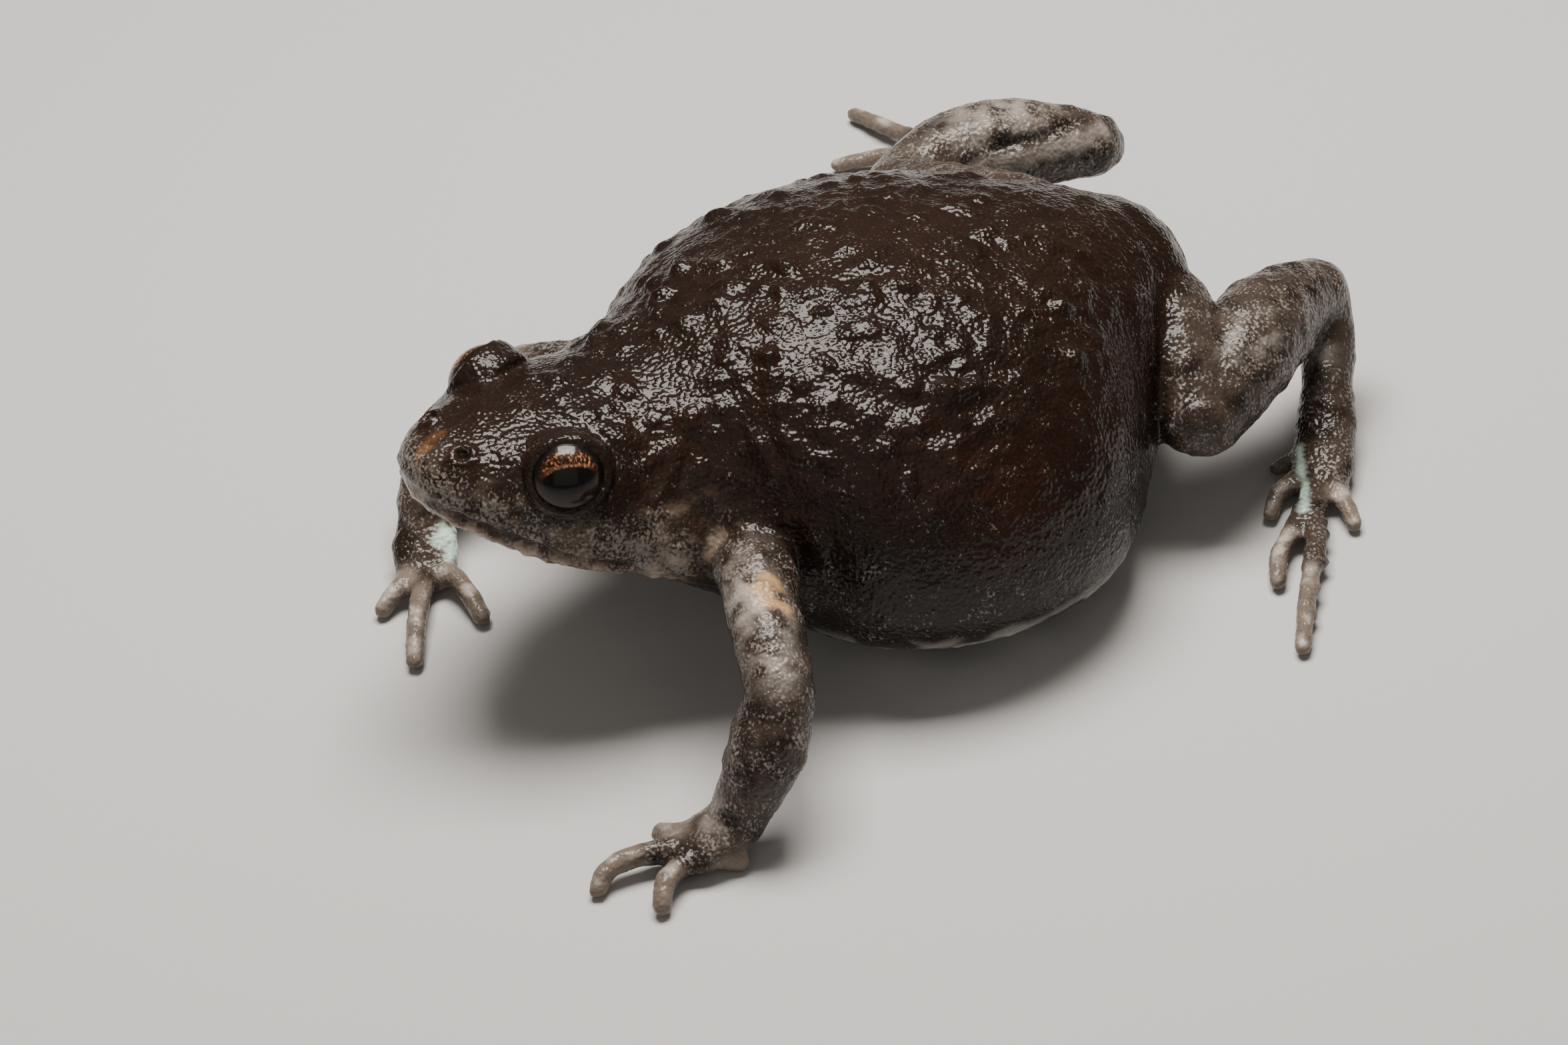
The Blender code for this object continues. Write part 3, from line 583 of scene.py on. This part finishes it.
mid = mounds(points + drift, *MID_MOUNDS, 30)
small = mounds(points, *GRAINS, 40)
ridge = (1 - np.abs(noise(points + drift, 0.95, 50))) ** 4
patch = smoothstep(-0.6, 0.5, noise(points, 3.2, 9))
# Heights of the relief below are in millimetres
wartiness = on_back * (1 - 0.8 * on_rump) * (0.55 + 0.45 * patch) * (1 - 0.55 * smoothstep(-3.0, -6.0, x))
relief = wartiness * (0.30 * big + 0.21 * mid + 0.07 * ridge)
relief -= 0.15 * wartiness
relief += on_trunk * (1 - on_belly) * (0.05 * mid + 0.03 * small + 0.02 * ridge)
relief += on_head * (1 - on_cheek) * (1 - on_jaw) * smoothstep(-10.5, -7.5, y) * (0.28 * big + 0.17 * mid)
relief += 0.05 * (on_jaw + on_cheek + throat_side * on_trunk) * small + 0.05 * throat_side * on_trunk * mid
relief += on_belly * 0.05 * small
relief += on_limb * (0.07 * mid + 0.07 * ridge + 0.03 * small)
for place in TUBERCLES:
    features += TUBERCLE_HEIGHT * bell(np.linalg.norm(points - place, axis=1), TUBERCLE_WIDTH)
for place in WARTS:
    features += WART_HEIGHT * bell(np.linalg.norm(points - place, axis=1), WART_WIDTH)
eye_distance = np.linalg.norm(both_sides - EYE_CENTRE, axis=1)
relief *= 0.08 + 0.92 * smoothstep(EYE_RADIUS + 0.15, EYE_RADIUS + 0.6, eye_distance)
bare_ends = [dense(line, 16)[BARE_FINGER_FROM if number in FINGERS else BARE_TOE_FROM:]
             for number, line in enumerate(DIGITS)]
digit_distance, _ = distance_to_line(points, np.concatenate(bare_ends))
on_digit = smoothstep(0.80, 0.50, digit_distance) * on_limb
relief *= 1 - 0.6 * on_digit
points = points + normals * (features + relief)[:, None]
points[:, 2] = np.maximum(points[:, 2], REST_Z)
write_points(skin.data, points)

# Colours of the skin. They are laid on the points of the sheet: near black brown above, flanks black with a
# red-brown tinge and pale grains, a marbled belly and lips, mottled limbs and clear pinkish digits, with
# painted shade in the hollows round the eyes, nostrils, mouth and far shank's crease, and painted silver
# highlights where the wet skin shines.
BACK = np.array([0.0120, 0.0052, 0.0027])
FLANK = np.array([0.0090, 0.0052, 0.0036])
RUST = np.array([0.045, 0.013, 0.006])
# The lids' own dark skin, and painted shade in the hollows round the eyes, in the nostrils and in the mouth
# groove
LID_DARK_AND_HOLLOW_SHADE = np.array([0.014, 0.008, 0.005])
JAW_DARK = np.array([0.060, 0.036, 0.024])
JAW_PALE = np.array([0.42, 0.32, 0.235])
MARBLE_DARK = np.array([0.035, 0.028, 0.025])
MARBLE_PALE = np.array([0.42, 0.41, 0.38])
LIMB = np.array([0.048, 0.035, 0.027])
LIMB_MOTTLE_AND_CREASE_SHADE = np.array([0.017, 0.011, 0.008])
DIGIT = np.array([0.180, 0.146, 0.118])
OCHRE = np.array([0.44, 0.20, 0.07])
GOLD = np.array([0.52, 0.31, 0.13])
# Silvery granules and painted highlights of the wet skin
SILVER_AND_PAINTED_SHEEN = np.array([0.62, 0.56, 0.50])
MINT = np.array([0.58, 0.78, 0.68])
RUST_PATCH, RUST_REACH = (10.6, 2.8, 7.2), (3.0, 3.6, 2.2)
# Silver laid into the colour where the wet skin shines, painted highlights over its silvery granules: place,
# reach and strength of each
SILVER_AND_PAINTED_SHEEN_SPOTS = [
    ((9.9, -5.5, 7.5), (2.2, 0.95, 0.95), 0.62),
    ((12.3, -6.1, 6.5), (0.9, 0.6, 0.7), 0.52),
    ((13.0, -9.0, 1.9), (0.8, 0.9, 0.7), 0.42),
    ((5.7, 17.0, 6.7), (0.8, 1.3, 0.7), 0.42),
    ((4.1, 21.0, 3.3), (0.5, 0.6, 0.9), 0.42),
    ((-12.0, 17.0, 7.0), (1.2, 3.0, 0.9), 0.42),
    ((-9.5, -5.6, 6.4), (0.9, 0.9, 0.6), 0.42),
]
# Small patches of colour: their paint, place, reach and strength
PAINT = [
    (OCHRE, (0.2, -13.1, 11.3), (0.22, 0.42, 0.45), 0.24),
    (OCHRE, (-0.1, -12.5, 11.5), (0.22, 0.48, 0.5), 0.16),
    (GOLD, (9.7, -4.75, 7.45), (1.1, 0.55, 0.7), 0.75),
    (MINT, (-6.75, -9.95, 1.35), (1.0, 0.75, 0.7), 1.0),
]
# A painted highlight along the top of the far shank and a pale green line across the near foot
FAR_SHANK_HIGHLIGHT = [(-10.8, 15.2, 5.75), (-10.3, 16.7, 5.8), (-10.1, 18.2, 5.75), (-10.3, 20.2, 5.75)]
MINT_LINE = [(6.2, 18.6, 1.40), (6.8, 18.3, 1.30), (7.4, 18.0, 1.15), (8.05, 17.6, 1.05), (9.2, 16.95, 1.15)]


def blend(base, colour, share):
    """Each point's colour moved towards another by its share."""
    share = np.clip(share, 0, 1)[:, None]
    return base * (1 - share) + colour * share


x, y, z = points.T
both_sides = np.stack([np.abs(x), y, z], 1)
coarse, middle, fine = noise(points, 2.6, 60), noise(points, 0.9, 61), noise(points, 0.34, 62)
speckle = noise(points, 0.5, 64) + 0.6 * fine
colour = np.broadcast_to(BACK, points.shape) * (1 + 0.22 * coarse + 0.15 * middle)[:, None]
on_flank = smoothstep(*FLANK_FROM, z) * (1 - on_head)
colour = blend(colour, FLANK * (1 + 0.25 * middle)[:, None], on_flank)
rust = nearness(both_sides, RUST_PATCH, RUST_REACH)
colour = blend(colour, RUST, 0.35 * rust * smoothstep(-0.5, 0.4, coarse))
jaw = np.clip(on_jaw + 0.8 * throat_side * on_trunk + 0.22 * on_cheek, 0, 1)
jaw_grain = smoothstep(-0.1, 0.7, 0.7 * speckle + small - 0.08)
colour = blend(colour, blend(np.broadcast_to(JAW_DARK, points.shape), JAW_PALE, jaw_grain), 0.9 * jaw)
marble = smoothstep(-0.05, 0.25, noise(points, 1.3, 63) + 0.5 * middle)
colour = blend(colour, blend(np.broadcast_to(MARBLE_DARK, points.shape), MARBLE_PALE, marble), on_belly)
limb_tone = blend(np.broadcast_to(LIMB, points.shape), LIMB_MOTTLE_AND_CREASE_SHADE, smoothstep(-0.3, 0.5, middle + 0.6 * fine))
colour = blend(colour, limb_tone, on_limb)
on_digit = smoothstep(1.0, 0.4, digit_distance + 0.2 * speckle) * on_limb * smoothstep(2.1, 1.3, z)
colour = blend(colour, DIGIT * (1 + 0.2 * middle)[:, None], 0.8 * on_digit)
# Painted highlight: silver along the tops of the digits, where they face up.
painted_top_highlight = smoothstep(0.55, 0.9, normals[:, 2])
colour = blend(colour, SILVER_AND_PAINTED_SHEEN, 0.55 * on_digit * painted_top_highlight * smoothstep(-0.1, 0.5, speckle))
# A dark ring round each eye, partly the lids' own dark skin and partly painted shade, and painted shade in
# the nostril pits and along the mouth groove; the pale grains are left out there too.
lid_dark_and_hollow_shade = smoothstep(EYE_RADIUS + 0.45, EYE_RADIUS + 0.12, eye_distance + 0.10 * middle + 0.06 * fine)
nostril_distance = np.linalg.norm(both_sides - NOSTRIL, axis=1)
lid_dark_and_hollow_shade = np.maximum(lid_dark_and_hollow_shade, smoothstep(0.36, 0.20, nostril_distance))
lid_dark_and_hollow_shade = np.maximum(lid_dark_and_hollow_shade, 0.8 * smoothstep(0.20, 0.08, mouth_distance) * mouth_fade)
colour = blend(colour, LID_DARK_AND_HOLLOW_SHADE, 0.8 * lid_dark_and_hollow_shade)
pale = 0.50 * on_limb * (1 - on_digit) + on_trunk * (0.22 * on_flank + 0.02 * (1 - on_flank))
pale += 0.95 * on_cheek + 0.80 * on_jaw + 0.7 * throat_side
# Each spot paints a silver highlight into the colour and crowds the pale grains under it.
for place, reach, strength in SILVER_AND_PAINTED_SHEEN_SPOTS:
    near = nearness(points, place, reach)
    colour = blend(colour, SILVER_AND_PAINTED_SHEEN, strength * near * smoothstep(-0.6, 0.5, speckle))
    pale += 0.35 * near
pale = np.clip(pale, 0, 1.3) * (1 - lid_dark_and_hollow_shade)
for paint, place, reach, strength in PAINT:
    near = nearness(points, place, reach)
    colour = blend(colour, paint, strength * smoothstep(0.25, 0.60, near * (1 + 0.8 * speckle)))
# Painted highlight: silver along the top of the far shank.
far, _ = distance_to_line(points, dense(FAR_SHANK_HIGHLIGHT, 60))
colour = blend(colour, SILVER_AND_PAINTED_SHEEN, 0.32 * smoothstep(0.60, 0.10, far + 0.20 * speckle))
# Painted shade: the crease of the far shank darkened with the limbs' dark tone.
colour = blend(colour, LIMB_MOTTLE_AND_CREASE_SHADE, 0.7 * smoothstep(0.45, 0.15, shank_distance + 0.10 * speckle))
far, _ = distance_to_line(points, dense(MINT_LINE, 60))
colour = blend(colour, MINT, 0.75 * smoothstep(0.26, 0.08, far + 0.10 * speckle))


def point_attribute(mesh, name, kind, values):
    """One value for each point of the mesh, kept under a name for the materials."""
    attribute = mesh.attributes.new(name, kind, "POINT")
    if kind == "FLOAT_COLOR":
        values = np.concatenate([np.clip(values, 0, 1), np.ones((len(values), 1))], 1)
        attribute.data.foreach_set("color", values.astype(np.float32).ravel())
    else:
        attribute.data.foreach_set("value", values.astype(np.float32))


point_attribute(skin.data, "tone", "FLOAT_COLOR", colour)
point_attribute(skin.data, "pale_grains", "FLOAT", pale)


def to_model(mesh):
    """Millimetres about the shoulders become metres about the model's origin."""
    mesh.transform(Matrix.Scale(METRES_PER_MM, 4) @ Matrix.Translation((0, -BELLY_MIDDLE_Y, 0)))
    mesh.shade_smooth()
    mesh.update()


def noise_node(nodes, links, coordinates, scale, detail, distortion=0.0):
    """Noise on the piece's own coordinates."""
    node = nodes.new("ShaderNodeTexNoise")
    node.inputs["Scale"].default_value = scale
    node.inputs["Detail"].default_value = detail
    node.inputs["Distortion"].default_value = distortion
    links.new(coordinates.outputs["Object"], node.inputs["Vector"])
    return node


def range_node(nodes, links, source, low, high, to_low=0.0, to_high=1.0):
    """The source moved from one range to another and clamped."""
    node = nodes.new("ShaderNodeMapRange")
    for socket, value in zip(("From Min", "From Max", "To Min", "To Max"), (low, high, to_low, to_high)):
        node.inputs[socket].default_value = value
    links.new(source, node.inputs["Value"])
    return node


def bump_node(nodes, links, height, strength, distance, before=None):
    """A bump over the one before it."""
    node = nodes.new("ShaderNodeBump")
    node.inputs["Strength"].default_value = strength
    node.inputs["Distance"].default_value = distance
    links.new(height, node.inputs["Height"])
    if before:
        links.new(before.outputs["Normal"], node.inputs["Normal"])
    return node


PALE_GRAIN = (0.30, 0.27, 0.245, 1.0)
# Patterns in cells or waves to the metre, and the heights of the fine relief in metres
SPECK_SCALE, CLUMP_SCALE, WRINKLE_SCALE, GRANULE_SCALE = 8500.0, 1100.0, 2300.0, 5600.0
WRINKLE_HEIGHT, GRANULE_HEIGHT = 0.00012, 0.00006


def multiply_add_node(nodes, links, value, factor, added):
    """A value times a fixed factor, plus another value."""
    node = nodes.new("ShaderNodeMath")
    node.operation = "MULTIPLY_ADD"
    links.new(value, node.inputs[0])
    node.inputs[1].default_value = factor
    links.new(added, node.inputs[2])
    return node


def skin_material():
    """Wet skin: the laid-on tone, pale grains that crowd where the grain attribute is high, uneven wetness,
    and fine wrinkles and granules under a clear wet coat."""
    material, nodes, links, shader = new_material("wet_toadlet_skin")
    coordinates = nodes.new("ShaderNodeTexCoord")
    tone = nodes.new("ShaderNodeAttribute")
    tone.attribute_name = "tone"
    grains = nodes.new("ShaderNodeAttribute")
    grains.attribute_name = "pale_grains"
    speck = noise_node(nodes, links, coordinates, SPECK_SCALE, 3.0)
    clump = noise_node(nodes, links, coordinates, CLUMP_SCALE, 3.0)
    crowd = multiply_add_node(nodes, links, clump.outputs["Fac"], 0.55, speck.outputs["Fac"])
    more = multiply_add_node(nodes, links, grains.outputs["Fac"], 0.24, crowd.outputs[0])
    share = range_node(nodes, links, more.outputs[0], 0.94, 1.12, 0.0, 0.62)
    mix = nodes.new("ShaderNodeMix")
    mix.data_type = "RGBA"
    mix.inputs["B"].default_value = PALE_GRAIN
    links.new(share.outputs["Result"], mix.inputs["Factor"])
    links.new(tone.outputs["Color"], mix.inputs["A"])
    links.new(mix.outputs["Result"], shader.inputs["Base Color"])
    wet = range_node(nodes, links, clump.outputs["Fac"], 0.35, 0.65, 0.40, 0.65)
    links.new(wet.outputs["Result"], shader.inputs["Roughness"])
    wrinkle = noise_node(nodes, links, coordinates, WRINKLE_SCALE, 1.5, 0.4)
    granule = nodes.new("ShaderNodeTexVoronoi")
    granule.feature = "SMOOTH_F1"
    granule.inputs["Scale"].default_value = GRANULE_SCALE
    granule.inputs["Smoothness"].default_value = 0.5
    links.new(coordinates.outputs["Object"], granule.inputs["Vector"])
    folds = bump_node(nodes, links, wrinkle.outputs["Fac"], 0.5, WRINKLE_HEIGHT)
    granules = bump_node(nodes, links, granule.outputs["Distance"], 0.7, GRANULE_HEIGHT, folds)
    granules.invert = True
    links.new(granules.outputs["Normal"], shader.inputs["Normal"])
    links.new(granules.outputs["Normal"], shader.inputs["Coat Normal"])
    shader.inputs["IOR"].default_value = 1.33
    shader.inputs["Specular IOR Level"].default_value = 0.12
    shader.inputs["Coat Weight"].default_value = 0.7
    shader.inputs["Coat Roughness"].default_value = 0.115
    shader.inputs["Coat IOR"].default_value = 1.34
    shader.inputs["Subsurface Weight"].default_value = 0.08
    shader.inputs["Subsurface Radius"].default_value = (0.0006, 0.0003, 0.0002)
    shader.inputs["Subsurface Scale"].default_value = 1.0
    return material


to_model(skin.data)
skin.data.materials.append(skin_material())
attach(skin, "root")
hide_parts(*[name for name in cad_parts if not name.startswith("eye_")])

# Eyes. Each is a wet ball with a broad dark pupil; the copper and gold of the iris shows as a band over it
# and is nearly lost in the dark below.
EYE_ROWS, EYE_COLUMNS = 130, 180
IRIS_REACH = 0.79              # sine of the angle from the middle of the eye to the iris's rim
PUPIL_HALF_WIDTH, PUPIL_HALF_HEIGHT, PUPIL_DROP = 0.61, 0.33, 0.03   # in eye radii
POLE_GAP = 0.004               # radians between a pole and its first ring
IRIS_DARK = np.array([0.014, 0.006, 0.003])
IRIS_COPPER = np.array([0.11, 0.034, 0.013])
IRIS_GOLD = np.array([0.38, 0.19, 0.10])
EYE_BLACK = np.array([0.003, 0.0025, 0.002])


def eye_points(side):
    """A sphere of rings round the line of sight, with its poles ahead and behind."""
    out, level, upright = eye_frame(side)
    lat = np.linspace(POLE_GAP, np.pi - POLE_GAP, EYE_ROWS)[:, None]
    lon = np.linspace(0, 2 * np.pi, EYE_COLUMNS, endpoint=False)[None, :]
    ring = np.cos(lon)[..., None] * level + np.sin(lon)[..., None] * upright
    ball = np.sin(lat)[..., None] * ring + np.cos(lat)[..., None] * out
    return closed_mesh(EYE_CENTRE * (side, 1, 1) + EYE_RADIUS * ball)


def eye_colour(points, side):
    """Copper flecked with gold over the pupil, nearly black under it, black at the pupil and past the rim."""
    out, level, upright = eye_frame(side)
    unit = (points - EYE_CENTRE * (side, 1, 1)) / EYE_RADIUS
    across, high, ahead = unit @ level, unit @ upright, unit @ out
    radial = np.sqrt(across ** 2 + high ** 2)
    angle = np.arctan2(high, across)
    flecks = noise(np.stack([angle * 2.2, radial * 3.0, np.zeros(len(points))], 1), 0.11, 80)
    flecks += 0.8 * noise(points, 0.07, 81) + 0.5 * noise(points, 0.04, 82)
    above = smoothstep(0.07, 0.33, high) * smoothstep(0.76, 0.61, radial)
    colour = np.broadcast_to(IRIS_DARK, points.shape)
    colour = blend(colour, IRIS_COPPER, (0.08 + 0.92 * above) * smoothstep(-0.25, 0.5, flecks))
    colour = blend(colour, IRIS_GOLD, above * smoothstep(0.30, 0.95, flecks))
    pupil = np.sqrt((across / PUPIL_HALF_WIDTH) ** 2 + ((high + PUPIL_DROP) / PUPIL_HALF_HEIGHT) ** 2)
    colour = blend(colour, IRIS_GOLD, 0.22 * bell(pupil - 1.12, 0.10) * above)
    dark = smoothstep(1.06, 0.96, pupil) + smoothstep(IRIS_REACH - 0.12, IRIS_REACH, radial) + (ahead < 0)
    return blend(colour, EYE_BLACK, dark)


def eye_material():
    """The laid-on iris under a clear wet coat."""
    material, nodes, links, shader = new_material("wet_eye")
    tone = nodes.new("ShaderNodeAttribute")
    tone.attribute_name = "tone"
    links.new(tone.outputs["Color"], shader.inputs["Base Color"])
    coordinates = nodes.new("ShaderNodeTexCoord")
    fibres = noise_node(nodes, links, coordinates, 9000.0, 2.0)
    rough = range_node(nodes, links, fibres.outputs["Fac"], 0.3, 0.7, 0.25, 0.45)
    links.new(rough.outputs["Result"], shader.inputs["Roughness"])
    bump = bump_node(nodes, links, fibres.outputs["Fac"], 0.2, 0.00002)
    links.new(bump.outputs["Normal"], shader.inputs["Normal"])
    shader.inputs["Specular IOR Level"].default_value = 0.1
    shader.inputs["Coat Weight"].default_value = 0.75
    shader.inputs["Coat Roughness"].default_value = 0.02
    shader.inputs["Coat IOR"].default_value = 1.33
    return material


wet_eye = eye_material()
for side, side_name in ((1, "left"), (-1, "right")):
    ball = join_forms("toadlet_eye_" + side_name, [eye_points(side)])
    point_attribute(ball.data, "tone", "FLOAT_COLOR", eye_colour(read_points(ball.data), side))
    to_model(ball.data)
    ball.data.materials.append(wet_eye)
    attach(ball, "root")
    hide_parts("eye_" + side_name)
